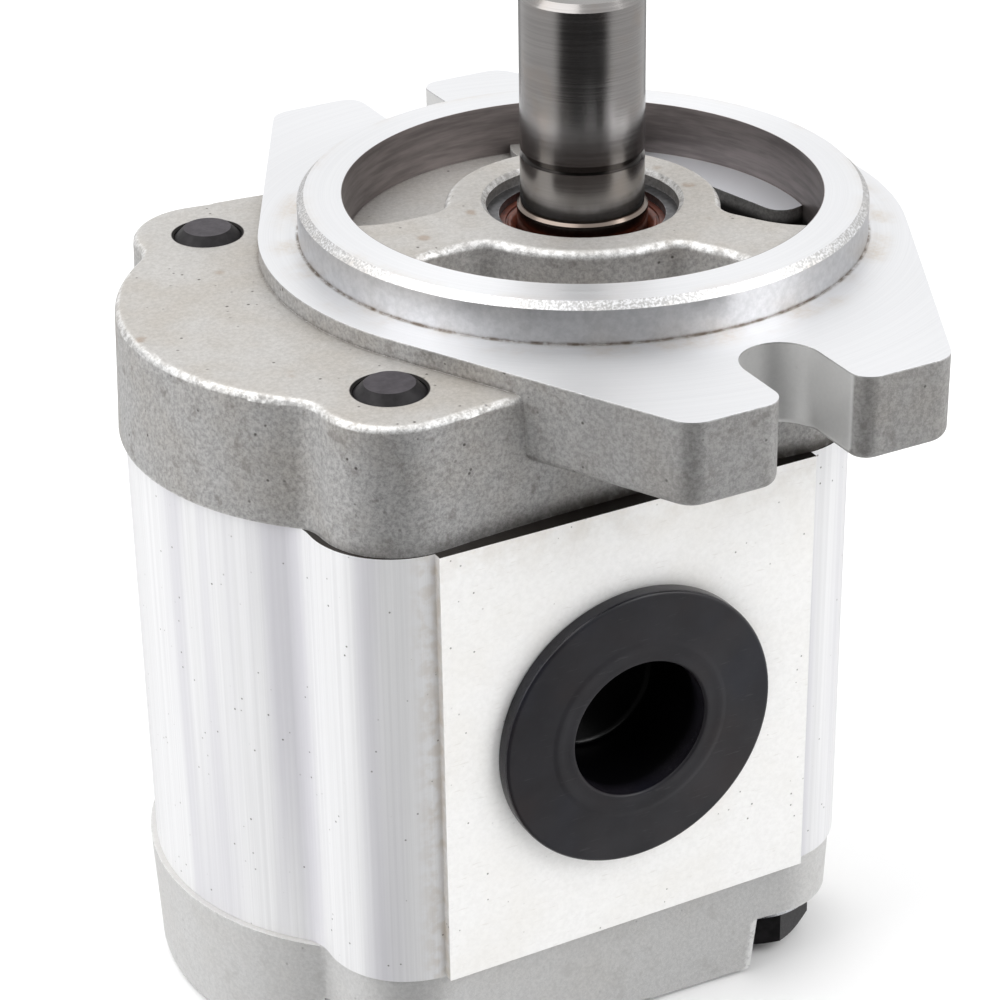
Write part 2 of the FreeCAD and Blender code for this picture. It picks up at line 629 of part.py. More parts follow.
def shaft_key():
    """Round-ended key on the +Y side of the shaft."""
    seat = SHAFT_RADIUS - KEY_SEAT_DEPTH
    half = KEY_WIDTH / 2
    middle = box((-half, half), (seat, seat + KEY_WIDTH),
                 (KEY_BOTTOM + half, KEY_BOTTOM + KEY_LENGTH - half))
    ends = [Part.makeCylinder(half, KEY_WIDTH, Vector(0, seat, level), Vector(0, 1, 0))
            for level in (KEY_BOTTOM + half, KEY_BOTTOM + KEY_LENGTH - half)]
    return fuse_all([middle] + ends)


def seal_case():
    """Stiffened outer case of the shaft seal, open towards the pump."""
    case = tube(SEAL_BORE_RADIUS, SEAL_LIP_OUTER, SEAL_BOTTOM, SEAL_TOP)
    return case.cut(tube(SEAL_BORE_RADIUS - SEAL_WALL, SEAL_LIP_OUTER - CUT,
                         SEAL_BOTTOM - CUT, SEAL_TOP - SEAL_WALL))


def seal_lip():
    """Rubber membrane and lip that run on the shaft."""
    bore = JOURNAL_RADIUS + RUNNING_CLEARANCE
    root = SEAL_TOP - 2 * SEAL_WALL
    lip_top = root - SEAL_WALL
    profile = [(SEAL_LIP_OUTER, SEAL_TOP), (bore + SEAL_WALL, SEAL_TOP), (bore, SEAL_TOP - SEAL_WALL),
               (bore + SEAL_WALL, root), (bore, SEAL_BOTTOM + SEAL_WALL), (bore + SEAL_WALL / 2, SEAL_BOTTOM),
               (SEAL_LIP_OUTER, SEAL_BOTTOM), (SEAL_LIP_OUTER, lip_top)]
    points = [Vector(radius, 0, level) for radius, level in profile]
    lip = Part.Face(Part.makePolygon(points + points[:1])).revolve(Vector(0, 0, 0), UP, 360)
    return lip.cut(garter_spring())


def garter_spring():
    """Spring ring that loads the lip."""
    return Part.makeTorus(SEAL_SPRING_RING, SEAL_SPRING_RADIUS,
                          Vector(0, 0, SEAL_BOTTOM + 2 * SEAL_SPRING_RADIUS), UP)


def retaining_ring():
    """Internal retaining ring with a gap and two drilled ears."""
    low = CLIP_BOTTOM
    high = CLIP_BOTTOM + CLIP_THICKNESS
    ring = tube(CLIP_GROOVE_RADIUS - RUNNING_CLEARANCE, CLIP_INNER_RADIUS, low, high)
    half_gap = math.radians(CLIP_GAP_ANGLE / 2)
    reach = 2 * CLIP_GROOVE_RADIUS
    side = reach * math.tan(half_gap)
    apex = Vector(0, 0, low)
    wedge = Part.makePolygon([apex, Vector(side, reach, low), Vector(-side, reach, low), apex])
    ring = ring.cut(solid_of(wedge, low - CUT, high + CUT))
    ears = []
    holes = []
    for direction in (-1, 1):
        angle = math.pi / 2 + direction * (half_gap + CLIP_EAR_RADIUS / CLIP_INNER_RADIUS)
        x = (CLIP_INNER_RADIUS + CLIP_EAR_HOLE / 2) * math.cos(angle)
        y = (CLIP_INNER_RADIUS + CLIP_EAR_HOLE / 2) * math.sin(angle)
        ears.append(cylinder(CLIP_EAR_RADIUS, low, high, x, y))
        holes.append(cylinder(CLIP_EAR_HOLE, low - CUT, high + CUT, x, y))
    whole = cut_all(fuse_all([ring] + ears), holes)
    whole.rotate(Vector(0, 0, 0), UP, CLIP_GAP_DIRECTION - 90)
    return whole


def through_bolt(x, y):
    """Hexagon bolt from below; its chamfered end stands just proud of the front block."""
    shank = cylinder(BOLT_RADIUS, BOLT_SEAT, BOLT_END, x, y)
    shank = shank.makeChamfer(BOLT_END_CHAMFER, level_edges(shank, BOLT_END, lambda edge: True))
    corner = BOLT_HEAD_FLATS / math.sqrt(3)
    turns = [math.radians(60 * k) for k in range(7)]
    points = [Vector(x + corner * math.cos(turn), y + corner * math.sin(turn), 0)
              for turn in turns]
    head = solid_of(Part.makePolygon(points), BOLT_SEAT - BOLT_HEAD_HEIGHT, BOLT_SEAT)
    crown = Part.makeCone(BOLT_HEAD_FLATS / 2, BOLT_HEAD_FLATS / 2 + BOLT_HEAD_HEIGHT * math.sqrt(3),
                          BOLT_HEAD_HEIGHT, Vector(x, y, BOLT_SEAT - BOLT_HEAD_HEIGHT), UP)
    return fuse_all([head.common(crown), shank])


def through_bolts():
    """Four identical bolts."""
    return Part.makeCompound([through_bolt(x, y) for x, y in BOLT_PLACES])


def bolt_washers():
    """Four identical washers under the bolt heads."""
    return Part.makeCompound([tube(WASHER_RADIUS, BOLT_HOLE_RADIUS, BOLT_SEAT, SPOTFACE_LEVEL, x, y)
                              for x, y in BOLT_PLACES])


def dowels(joint_level):
    """Two dowel pins across a joint face."""
    low, high = joint_level - DOWEL_DEPTH, joint_level + DOWEL_DEPTH
    return Part.makeCompound([cylinder(DOWEL_RADIUS, low, high, x, y)
                              for x, y in DOWEL_PLACES])


def port_plug(port):
    """Moulded transport plug: wide flange, hollow shank closed at its inner end."""
    side = port["side"]
    outward = Vector(0, side, 0)
    shank_radius = port["bore"] - PLUG_CLEARANCE
    shank_length = port["depth"] - PLUG_SHORTER
    face = Vector(MIDDLE_X, side * PAD_Y, GEAR_MIDDLE)
    outer_face = face + outward * PLUG_FLANGE_THICKNESS
    shank = Part.makeCylinder(shank_radius, shank_length, face - outward * shank_length, outward)
    flange = Part.makeCylinder(port["flange"], PLUG_FLANGE_THICKNESS, face, outward)
    rims = [edge for edge in flange.Edges if edge.BoundBox.YLength < FLAT and edge.isClosed()
            and abs(edge.CenterOfMass.y - outer_face.y) < TOUCH]
    flange = flange.makeFillet(PLUG_EDGE_ROUND, rims)
    rib_radius = port["hole"] + PLUG_RIB_GAP
    rib = Part.makeCylinder(rib_radius + PLUG_RIB_WIDTH, PLUG_RIB_HEIGHT, outer_face, outward)
    rib = rib.cut(Part.makeCylinder(rib_radius, PLUG_RIB_HEIGHT, outer_face, outward))
    hollow_depth = shank_length + PLUG_FLANGE_THICKNESS + PLUG_RIB_HEIGHT - PLUG_END_WALL
    hollow_start = outer_face + outward * (PLUG_RIB_HEIGHT + CUT)
    hollow = Part.makeCylinder(port["hole"], hollow_depth + CUT, hollow_start, -outward)
    return fuse_all([shank, flange, rib]).cut(hollow)


def export(shape, name):
    """Write one sub-part."""
    shape.exportStep("parts/" + name + ".step")


def main():
    """Build and write every sub-part."""
    os.makedirs("parts", exist_ok=True)
    export(front_cover(), "front_cover")
    export(pump_body(), "pump_body")
    export(rear_cover(), "rear_cover")
    export(through_bolts(), "through_bolts")
    export(bolt_washers(), "bolt_washers")
    export(port_plug(INLET), "inlet_plug")
    export(port_plug(OUTLET), "outlet_plug")
    export(drive_gear_shaft(), "drive_gear_shaft")
    export(driven_gear_shaft(), "driven_gear_shaft")
    export(shaft_key(), "shaft_key")
    export(seal_case(), "shaft_seal_case")
    export(seal_lip(), "shaft_seal_lip")
    export(garter_spring(), "seal_garter_spring")
    export(retaining_ring(), "seal_retaining_ring")
    for end, level, inward in (("front", BODY_TOP, -1), ("rear", BODY_BOTTOM, 1)):
        export(dowels(level), end + "_dowels")
        export(bearing_block(level, inward), end + "_bearing_block")
        export(bush(GEAR_AXES[0], level, inward), "drive_bush_" + end)
        export(bush(GEAR_AXES[1], level, inward), "driven_bush_" + end)
        export(pressure_seal(level, inward), end + "_pressure_seal")
        export(backup_ring(level, inward), end + "_backup_ring")
        export(face_seal(level, inward), end + "_body_seal")


main()
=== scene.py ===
import math

import bmesh
import bpy
from mathutils import Matrix, Vector


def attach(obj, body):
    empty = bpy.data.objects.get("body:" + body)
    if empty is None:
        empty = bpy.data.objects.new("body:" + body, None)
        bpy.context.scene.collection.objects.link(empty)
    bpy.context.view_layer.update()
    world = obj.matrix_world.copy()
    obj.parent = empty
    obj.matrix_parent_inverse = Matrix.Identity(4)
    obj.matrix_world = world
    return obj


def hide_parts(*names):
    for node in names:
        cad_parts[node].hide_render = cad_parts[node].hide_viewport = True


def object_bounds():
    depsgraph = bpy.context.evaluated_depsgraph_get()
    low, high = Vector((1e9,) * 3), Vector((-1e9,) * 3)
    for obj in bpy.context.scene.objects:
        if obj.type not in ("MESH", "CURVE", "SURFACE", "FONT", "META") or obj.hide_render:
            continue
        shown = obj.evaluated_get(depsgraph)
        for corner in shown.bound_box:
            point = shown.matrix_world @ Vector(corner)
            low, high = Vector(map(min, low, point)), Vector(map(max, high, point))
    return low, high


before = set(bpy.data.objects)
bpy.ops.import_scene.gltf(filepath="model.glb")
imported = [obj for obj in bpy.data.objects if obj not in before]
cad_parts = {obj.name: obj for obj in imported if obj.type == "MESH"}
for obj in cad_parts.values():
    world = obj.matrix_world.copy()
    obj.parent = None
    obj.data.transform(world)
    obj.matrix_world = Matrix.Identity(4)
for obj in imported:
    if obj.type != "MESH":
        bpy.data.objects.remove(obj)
cad_low, cad_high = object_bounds()

MM = 0.001

# Camera: it looks down on the flange, with the drive shaft upright
CAMERA_AZIMUTH = math.radians(-27.84)
CAMERA_ELEVATION = math.radians(28.11)
CAMERA_ROLL = math.radians(-0.9)
CAMERA_TARGET = Vector((-0.01993, -0.01076, -0.03523))
CAMERA_DISTANCE = 0.44426
CAMERA_LENS = 110.08
CAMERA_SENSOR = 36.0

# Places on the pump, in millimetres, about the drive shaft axis
PILOT_RADIUS = 41.275
RECESS_RADIUS = 34.75
CENTRE_DISTANCE = 34.0
MIDDLE_X = -CENTRE_DISTANCE / 2
BOLT_PLACES = [(MIDDLE_X + sx * 29.3, sy * 30.1) for sx in (-1, 1) for sy in (-1, 1)]
PORT_LEVEL = -55.8
PORT_FACE = 43.9
PORT_THREAD_PITCH = 2.309
PLUG_FACE = 2.4
PAD_EDGE_X = MIDDLE_X - 29.5
JOINT_LEVEL = -21.5
LEDGE_START_X = 20.5
SLOT_HALF_WIDTH = 5.75
HOLE_RADIUS = 5.3
SHAFT_GROOVE = (11.1, 12.3)
SHAFT_SHOULDER = 4.2

# Depths of surface relief and widths of rounded edges, in millimetres
CAST_DEPTH = 0.055
TURNED_DEPTH = 0.003
STREAK_DEPTH = 0.015
MILLED_DEPTH = 0.010
SPECK_DEPTH = 0.05
CAST_EDGE = 0.22
BODY_EDGE = 0.15
RING_EDGE = 0.12


# ---------------------------------------------------------------------------------------------
# Small tools

def link(mesh, name):
    """A new object for a mesh, in the scene."""
    piece = bpy.data.objects.new(name, mesh)
    bpy.context.scene.collection.objects.link(piece)
    return piece


def smooth_by_angle(mesh, degrees):
    """Smooth shading, with sharp edges above an angle."""
    mesh.polygons.foreach_set("use_smooth", [True] * len(mesh.polygons))
    mesh.set_sharp_from_angle(angle=math.radians(degrees))


def refined_copy(node, name, edge_round, degrees=30):
    """Copy of a CAD piece whose flat faces are whole and whose sharp edges are rounded."""
    shape = bmesh.new()
    shape.from_mesh(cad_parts[node].data)
    bmesh.ops.remove_doubles(shape, verts=shape.verts, dist=1e-6)
    bmesh.ops.dissolve_limit(shape, angle_limit=math.radians(0.4), verts=shape.verts, edges=shape.edges)
    mesh = bpy.data.meshes.new(name)
    shape.to_mesh(mesh)
    shape.free()
    piece = link(mesh, name)
    smooth_by_angle(mesh, degrees)
    bevel = piece.modifiers.new("edge_round", "BEVEL")
    bevel.width = edge_round * MM
    bevel.segments = 2
    bevel.limit_method = "ANGLE"
    bevel.angle_limit = math.radians(degrees)
    bevel.use_clamp_overlap = True
    flat = piece.modifiers.new("flat_faces", "WEIGHTED_NORMAL")
    flat.keep_sharp = True
    return piece


def rings_mesh(name, rings, closed_profile=False):
    """Surface through rings of points; an open profile ends in a point at each pole."""
    shape = bmesh.new()
    rows = [[shape.verts.new(point) for point in ring] for ring in rings]
    pairs = list(zip(rows, rows[1:]))
    if closed_profile:
        pairs.append((rows[-1], rows[0]))
    for low, high in pairs:
        if len(low) == 1 or len(high) == 1:
            point, ring = (low[0], high) if len(low) == 1 else (high[0], low)
            for k in range(len(ring)):
                shape.faces.new((point, ring[k], ring[(k + 1) % len(ring)]))
            continue
        for k in range(len(low)):
            after = (k + 1) % len(low)
            shape.faces.new((low[k], low[after], high[after], high[k]))
    bmesh.ops.recalc_face_normals(shape, faces=shape.faces)
    mesh = bpy.data.meshes.new(name)
    shape.to_mesh(mesh)
    shape.free()
    return mesh


def revolve(name, profile, segments, place, closed_profile=False):
    """Turned piece: profile points are (radius, height) in millimetres and place maps them to the frame."""
    rings = []
    for radius, height in profile:
        turns = [0.0] if radius == 0 else [2 * math.pi * k / segments for k in range(segments)]
        rings.append([place(radius * math.cos(a), radius * math.sin(a), height) for a in turns])
    return rings_mesh(name, rings, closed_profile)


def upright():
    """Place for a piece turned about the drive shaft axis."""
    return lambda a, b, height: Vector((a, b, height)) * MM


def along_port(side):
    """Place for a piece whose axis is that of a port; heights run outward from the port face."""
    return lambda a, b, height: Vector((MIDDLE_X + a, side * (PORT_FACE + height), PORT_LEVEL + b)) * MM


def rounded_corner(centre, radius, start, end, steps=4):
    """Points of a round corner in a profile, from one direction to another, in degrees."""
    turns = [math.radians(start + (end - start) * k / steps) for k in range(steps + 1)]
    return [(centre[0] + radius * math.cos(a), centre[1] + radius * math.sin(a)) for a in turns]


def dress(piece, material, body, slot, *nodes):
    """Give a new piece its material and body, and hide the CAD nodes that it stands for. The slot is not
    used.
    """
    piece.data.materials.clear()
    piece.data.materials.append(material)
    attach(piece, body)
    if nodes:
        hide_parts(*nodes)


# ---------------------------------------------------------------------------------------------
# Materials

class Nodes:
    """Shader nodes of one tree. Values may be numbers, colours or sockets."""

    def __init__(self, tree):
        self.tree = tree

    def feed(self, socket, value):
        """Set a socket to a value, or link it to another socket."""
        if isinstance(value, bpy.types.NodeSocket):
            self.tree.links.new(value, socket)
        else:
            socket.default_value = value

    def node(self, kind, **settings):
        """A new node with its settings."""
        made = self.tree.nodes.new(kind)
        for key, value in settings.items():
            setattr(made, key, value)
        return made

    def math(self, operation, *values, clamp=False):
        """One step of arithmetic."""
        made = self.node("ShaderNodeMath", operation=operation, use_clamp=clamp)
        for socket, value in zip(made.inputs, values):
            self.feed(socket, value)
        return made.outputs[0]

    def product(self, *values):
        """Product of two or more values."""
        result = values[0]
        for value in values[1:]:
            result = self.math("MULTIPLY", result, value)
        return result

    def apart(self, value, centre):
        """Distance of a value from a centre."""
        return self.math("ABSOLUTE", self.math("SUBTRACT", value, centre))

    def length(self, x, y):
        """Length of a flat vector."""
        return self.math("SQRT", self.math("ADD", self.product(x, x), self.product(y, y)))

    def in_mm(self, value):
        """A length in metres, given in millimetres."""
        return self.product(value, 1 / MM)

    def split(self, vector):
        """The three parts of a vector."""
        made = self.node("ShaderNodeSeparateXYZ")
        self.feed(made.inputs[0], vector)
        return made.outputs["X"], made.outputs["Y"], made.outputs["Z"]

    def ramp(self, value, low, high, to_low=0.0, to_high=1.0):
        """The value mapped smoothly from one range to another, held at its ends."""
        made = self.node("ShaderNodeMapRange", clamp=True, interpolation_type="SMOOTHSTEP")
        self.feed(made.inputs["Value"], value)
        for key, number in (("From Min", low), ("From Max", high), ("To Min", to_low), ("To Max", to_high)):
            made.inputs[key].default_value = number
        return made.outputs["Result"]

    def spread(self, noise, to_low=0.0, to_high=1.0):
        """Noise stretched from its usual range to a given one."""
        return self.ramp(noise, 0.3, 0.7, to_low, to_high)


class Graph(Nodes):
    """The nodes of one material."""

    def __init__(self, name):
        self.material = bpy.data.materials.new(name)
        self.material.use_nodes = True
        super().__init__(self.material.node_tree)
        self.shader = self.tree.nodes["Principled BSDF"]
        self.place = self.tree.nodes.new("ShaderNodeTexCoord").outputs["Object"]

    def invert(self, value):
        """What is left of 1."""
        return self.math("SUBTRACT", 1.0, value)

    def parts(self):
        """The three parts of the object place, in metres."""
        return self.split(self.place)

    def join(self, x, y, z):
        """A vector from its three parts."""
        made = self.node("ShaderNodeCombineXYZ")
        for socket, value in zip(made.inputs, (x, y, z)):
            self.feed(socket, value)
        return made.outputs[0]

    def stretched(self, x, y, z):
        """Object place scaled on each axis, per millimetre."""
        made = self.node("ShaderNodeVectorMath", operation="MULTIPLY")
        self.feed(made.inputs[0], self.place)
        made.inputs[1].default_value = (x / MM, y / MM, z / MM)
        return made.outputs[0]

    def noise(self, grain, detail=3.0, roughness=0.55, vector=None):
        """Noise whose grain is a size in millimetres, or 1 where the vector is scaled already."""
        made = self.node("ShaderNodeTexNoise")
        self.feed(made.inputs["Vector"], self.place if vector is None else vector)
        made.inputs["Scale"].default_value = 1.0 if vector is not None else 1.0 / (grain * MM)
        made.inputs["Detail"].default_value = detail
        made.inputs["Roughness"].default_value = roughness
        return made.outputs["Fac"]

    def cells(self, grain):
        """Distance to the nearest of scattered points about a grain size apart."""
        made = self.node("ShaderNodeTexVoronoi")
        self.feed(made.inputs["Vector"], self.place)
        made.inputs["Scale"].default_value = 1.0 / (grain * MM)
        return made.outputs["Distance"]

    def mix(self, factor, first, second):
        """Blend of two colours."""
        made = self.node("ShaderNodeMix", data_type="RGBA")
        self.feed(made.inputs[0], factor)
        self.feed(made.inputs[6], opaque(first))
        self.feed(made.inputs[7], opaque(second))
        return made.outputs[2]

    def multiplied(self, first, second):
        """Product of two colours."""
        made = self.node("ShaderNodeMix", data_type="RGBA", blend_type="MULTIPLY")
        made.inputs[0].default_value = 1.0
        self.feed(made.inputs[6], first)
        self.feed(made.inputs[7], second)
        return made.outputs[2]

    def blend(self, factor, first, second):
        """Blend of two numbers."""
        made = self.node("ShaderNodeMix", data_type="FLOAT")
        self.feed(made.inputs[0], factor)
        self.feed(made.inputs[2], first)
        self.feed(made.inputs[3], second)
        return made.outputs[0]

    def closeness(self, reach, inside):
        """Crevice mask, or the mask of outward edges if inside, within a reach in millimetres."""
        made = self.node("ShaderNodeAmbientOcclusion", samples=4, inside=inside, only_local=True)
        made.inputs["Distance"].default_value = reach * MM
        return self.invert(made.outputs["AO"])

    def upward(self):
        """Share of the surface that faces up."""
        made = self.node("ShaderNodeNewGeometry")
        return self.split(made.outputs["Normal"])[2]

    def bump(self, height, depth, strength=1.0):
        """Normal for a height that spans a depth in millimetres."""
        made = self.node("ShaderNodeBump")
        made.inputs["Strength"].default_value = strength
        made.inputs["Distance"].default_value = depth * MM
        self.feed(made.inputs["Height"], height)
        return made.outputs["Normal"]

    def relief(self, height):
        """Normal for a height in metres."""
        made = self.node("ShaderNodeBump")
        made.inputs["Distance"].default_value = 1.0
        self.feed(made.inputs["Height"], height)
        return made.outputs["Normal"]

    def finish(self, colour, roughness, metallic, normal=None, **constants):
        """The material, with its shader fed. Constants are shader inputs named in lower case."""
        self.feed(self.shader.inputs["Base Color"], opaque(colour))
        self.feed(self.shader.inputs["Roughness"], roughness)
        self.feed(self.shader.inputs["Metallic"], metallic)
        if normal is not None:
            self.feed(self.shader.inputs["Normal"], normal)
        for key, value in constants.items():
            self.shader.inputs[key.replace("_", " ").title().replace("Ior", "IOR")].default_value = value
        return self.material


def opaque(colour):
    """A colour with full alpha, or the socket that gives it."""
    return colour if isinstance(colour, bpy.types.NodeSocket) else (*colour, 1.0)


def axis_distance(graph):
    """Distance from the drive shaft axis, in millimetres."""
    x, y, _ = graph.parts()
    return graph.in_mm(graph.length(x, y))


def level(graph):
    """Height over the mounting face, in millimetres."""
    return graph.in_mm(graph.parts()[2])


def cast_surface(graph, crevice_shade, edge):
    """Colour, roughness and height of a blasted casting, given its masks of crevices and edges. Crevices get
    painted shade and grime, side faces a darker painted-shade copy of the colour, and fillets a painted
    highlight with edge wear.
    """
    grain = graph.noise(0.62, 5.0, 0.80)
    patches = graph.noise(14.0, 4.0, 0.6)
    up = graph.upward()
    facing = graph.ramp(up, 0.5, 0.97)
    contrast = graph.ramp(grain, 0.34, 0.66)
    # Painted shade and light: side faces get a darker copy of the cast colour, upward faces a lighter one.
    side = graph.mix(contrast, (0.33, 0.327, 0.325), (0.54, 0.535, 0.53))
    top = graph.mix(contrast, (0.46, 0.447, 0.43), (0.56, 0.547, 0.53))
    colour = graph.mix(facing, side, top)
    warm = graph.mix(graph.ramp(patches, 0.35, 0.75), (1.0, 1.0, 1.0), (0.92, 0.89, 0.85))
    colour = graph.multiplied(colour, warm)
    stains = graph.product(graph.ramp(graph.noise(3.2, 4.0, 0.65), 0.56, 0.70), graph.invert(facing))
    colour = graph.mix(graph.product(stains, 0.5), colour, (0.20, 0.185, 0.17))
    pits = graph.product(graph.ramp(graph.cells(1.9), 0.16, 0.06), graph.ramp(graph.noise(6.0), 0.50, 0.60))
    colour = graph.mix(graph.product(pits, 0.8), colour, (0.05, 0.042, 0.036))
    rust = graph.product(graph.ramp(graph.cells(7.0), 0.20, 0.08),
                         graph.ramp(graph.noise(9.0), 0.5, 0.6), facing)
    colour = graph.mix(graph.product(rust, 0.4), colour, (0.26, 0.15, 0.07))
    # Painted shade and grime: crevices are darkened to brown.
    colour = graph.mix(graph.ramp(crevice_shade, 0.26, 0.8, 0.0, 0.82), colour, (0.085, 0.068, 0.052))
    # Painted highlight and wear: inclined fillet faces get a bright sparkly painted highlight, and outward
    # edges are brightened as wear.
    rim_highlight = graph.product(graph.ramp(up, 0.12, 0.35), graph.ramp(up, 0.985, 0.85))
    uneven = graph.math("ADD", graph.product(grain, 0.6), graph.product(graph.noise(1.4), 0.6))
    sparkle = graph.ramp(uneven, 0.48, 0.76, 0.08, 0.75)
    wear_and_highlight = graph.math("MAXIMUM", graph.product(rim_highlight, sparkle), graph.ramp(edge, 0.45, 0.8), clamp=True)
    colour = graph.mix(wear_and_highlight, colour, (0.86, 0.86, 0.855))
    roughness = graph.blend(wear_and_highlight, 0.58, 0.38)
    height = graph.math("SUBTRACT", grain, graph.product(pits, 0.8))
    return colour, roughness, height


def machined_surface(graph, crevice_shade, edge):
    """Colour, roughness and height of a turned face about the shaft axis."""
    radius = axis_distance(graph)
    up = graph.upward()
    drift = graph.noise(22.0, 2.0)
    cuts = graph.noise(1.0, 3.0, 0.6, graph.join(graph.product(radius, 5.0), graph.product(drift, 1.2), 0.0))
    colour = graph.mix(graph.spread(cuts), (0.79, 0.795, 0.81), (0.825, 0.83, 0.845))
    near_pilot = graph.ramp(graph.apart(radius, PILOT_RADIUS + 1.2), 4.5, 0.5)
    patchy = graph.product(graph.ramp(graph.noise(8.0, 4.0), 0.40, 0.70),
                           graph.spread(graph.noise(0.8), 0.5, 1.0))
    colour = graph.mix(graph.product(near_pilot, patchy, 0.5), colour, (0.60, 0.50, 0.38))
    # Painted shade: upright turned faces get a darker mottled grey than the flat ones.
    side = graph.ramp(up, 0.45, 0.2)
    side_mottle = graph.spread(graph.noise(1.2, 5.0, 0.7))
    colour = graph.mix(graph.product(side, 0.9), colour,
                       graph.mix(side_mottle, (0.40, 0.40, 0.41), (0.50, 0.50, 0.51)))
    chamfer = graph.product(graph.ramp(up, 0.35, 0.55), graph.ramp(up, 0.97, 0.90))
    colour = graph.mix(graph.product(chamfer, graph.ramp(graph.noise(0.35), 0.35, 0.62, 0.15, 0.95)),
                       colour, (0.42, 0.415, 0.41))
    # Painted shade and grime: crevices are darkened to brown.
    colour = graph.mix(graph.ramp(crevice_shade, 0.45, 0.95, 0.0, 0.8), colour, (0.13, 0.10, 0.07))
    # Darker in a mottled band along the foot of the pilot.
    beside = graph.apart(radius, PILOT_RADIUS)
    pilot_foot_darkening = graph.product(graph.ramp(beside, 0.5, 0.1), graph.ramp(level(graph), 0.5, 0.1),
                         graph.ramp(graph.noise(2.2, 5.0, 0.7), 0.42, 0.62, 0.15, 1.0))
    colour = graph.mix(graph.product(pilot_foot_darkening, 0.75), colour, (0.15, 0.11, 0.075))
    colour = graph.mix(graph.ramp(edge, 0.4, 0.8, 0.0, 0.3), colour, (0.95, 0.95, 0.955))
    roughness = graph.blend(side, graph.ramp(cuts, 0.25, 0.75, 0.44, 0.38), 0.40)
    return colour, roughness, cuts


def cast_and_machined(name, machined_mask, zones=None, lift=0.0):
    """Casting with machined faces where the mask says, and zones of other finishes and of painted shade laid
    over it.
    """
    graph = Graph(name)
    # The crevice mask drives painted shade in the hollows.
    crevice_shade = graph.product(graph.closeness(1.3, False), graph.ramp(graph.noise(1.1), 0.2, 0.5, 0.6, 1.25))
    edge = graph.product(graph.closeness(0.7, True), graph.ramp(graph.noise(0.8), 0.3, 0.6, 0.5, 1.2))
    cast_colour, cast_rough, cast_height = cast_surface(graph, crevice_shade, edge)
    turned_colour, turned_rough, turned_height = machined_surface(graph, crevice_shade, edge)
    mask = machined_mask(graph)
    cast_colour = graph.mix(lift, cast_colour, (0.84, 0.84, 0.835))
    colour = graph.mix(mask, cast_colour, turned_colour)
    roughness = graph.blend(mask, cast_rough, turned_rough)
    for zone, zone_colour, zone_rough in zones(graph) if zones else ():
        colour = graph.mix(zone, colour, zone_colour)
        roughness = graph.blend(zone, roughness, zone_rough)
        cast_height = graph.blend(zone, cast_height, 0.5)
    metallic = graph.blend(mask, 0.72, 1.0)
    height = graph.blend(mask, graph.product(cast_height, CAST_DEPTH * MM),
                         graph.product(turned_height, TURNED_DEPTH * MM))
    x, y, _ = graph.parts()
    graph.feed(graph.shader.inputs["Tangent"], graph.join(x, y, 0.0))
    flat = graph.ramp(graph.upward(), 0.9, 0.98)
    graph.feed(graph.shader.inputs["Anisotropic"], graph.product(mask, flat, 0.6))
    return graph.finish(colour, roughness, metallic, graph.relief(height))


def front_cover_machined(graph):
    """Mask of the turned faces: flange face and pilot."""
    high = graph.ramp(level(graph), -0.16, -0.06)
    outside = graph.ramp(axis_distance(graph), RECESS_RADIUS + 0.02, RECESS_RADIUS + 0.12)
    return graph.product(high, outside)


